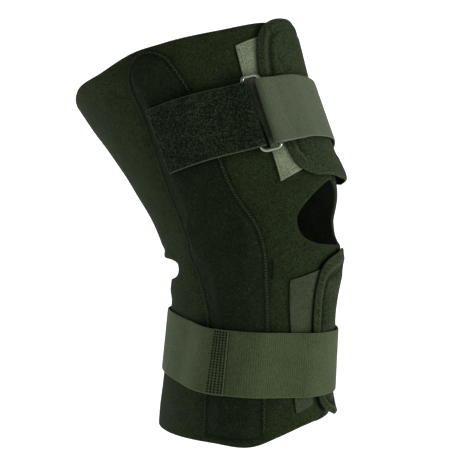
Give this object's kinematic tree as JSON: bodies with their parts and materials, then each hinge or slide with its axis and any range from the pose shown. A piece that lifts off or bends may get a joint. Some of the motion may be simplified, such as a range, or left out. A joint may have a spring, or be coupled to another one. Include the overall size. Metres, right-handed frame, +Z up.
{
  "type": "hinged knee brace",
  "caption": "Wrap-round hinged knee brace: padded sleeve with kneecap and back openings, front hook-and-loop flaps, side hinge pockets and two cinch straps.",
  "frame": {"origin": "centre of the knee inside the brace, level with the middle of the hinges", "axes": "+Z up the leg from calf to thigh, -Y towards the kneecap, -X towards the wearer's outer side"},
  "size_m": [0.1669, 0.2193, 0.3216],
  "materials": {
    "neoprene": "matte dark knit over foam rubber",
    "pocket_knit": "matte dark stretch knit",
    "flap_neoprene": "matte dark brushed knit over foam rubber",
    "hook_tape": "grey hook tape, fine bristly grain",
    "pile_webbing": "black napped loop webbing",
    "elastic_webbing": "charcoal ribbed elastic webbing, slightly shiny",
    "plated_steel": "bright nickel-plated wire",
    "hinge_metal": "plain satin steel"
  },
  "bodies": {
    "root": {"sleeve": "neoprene", "outer_hinge_pocket": "pocket_knit", "inner_hinge_pocket": "pocket_knit", "outer_hinge": "hinge_metal", "inner_hinge": "hinge_metal", "upper_hook_strip": "hook_tape", "lower_hook_strip": "hook_tape", "upper_flap": "flap_neoprene", "lower_flap": "flap_neoprene", "pile_strap": "pile_webbing", "upper_elastic_strap": "elastic_webbing", "ring": "plated_steel", "lower_strap_front": "elastic_webbing", "lower_strap_rear": "elastic_webbing"}
  },
  "joints": []
}
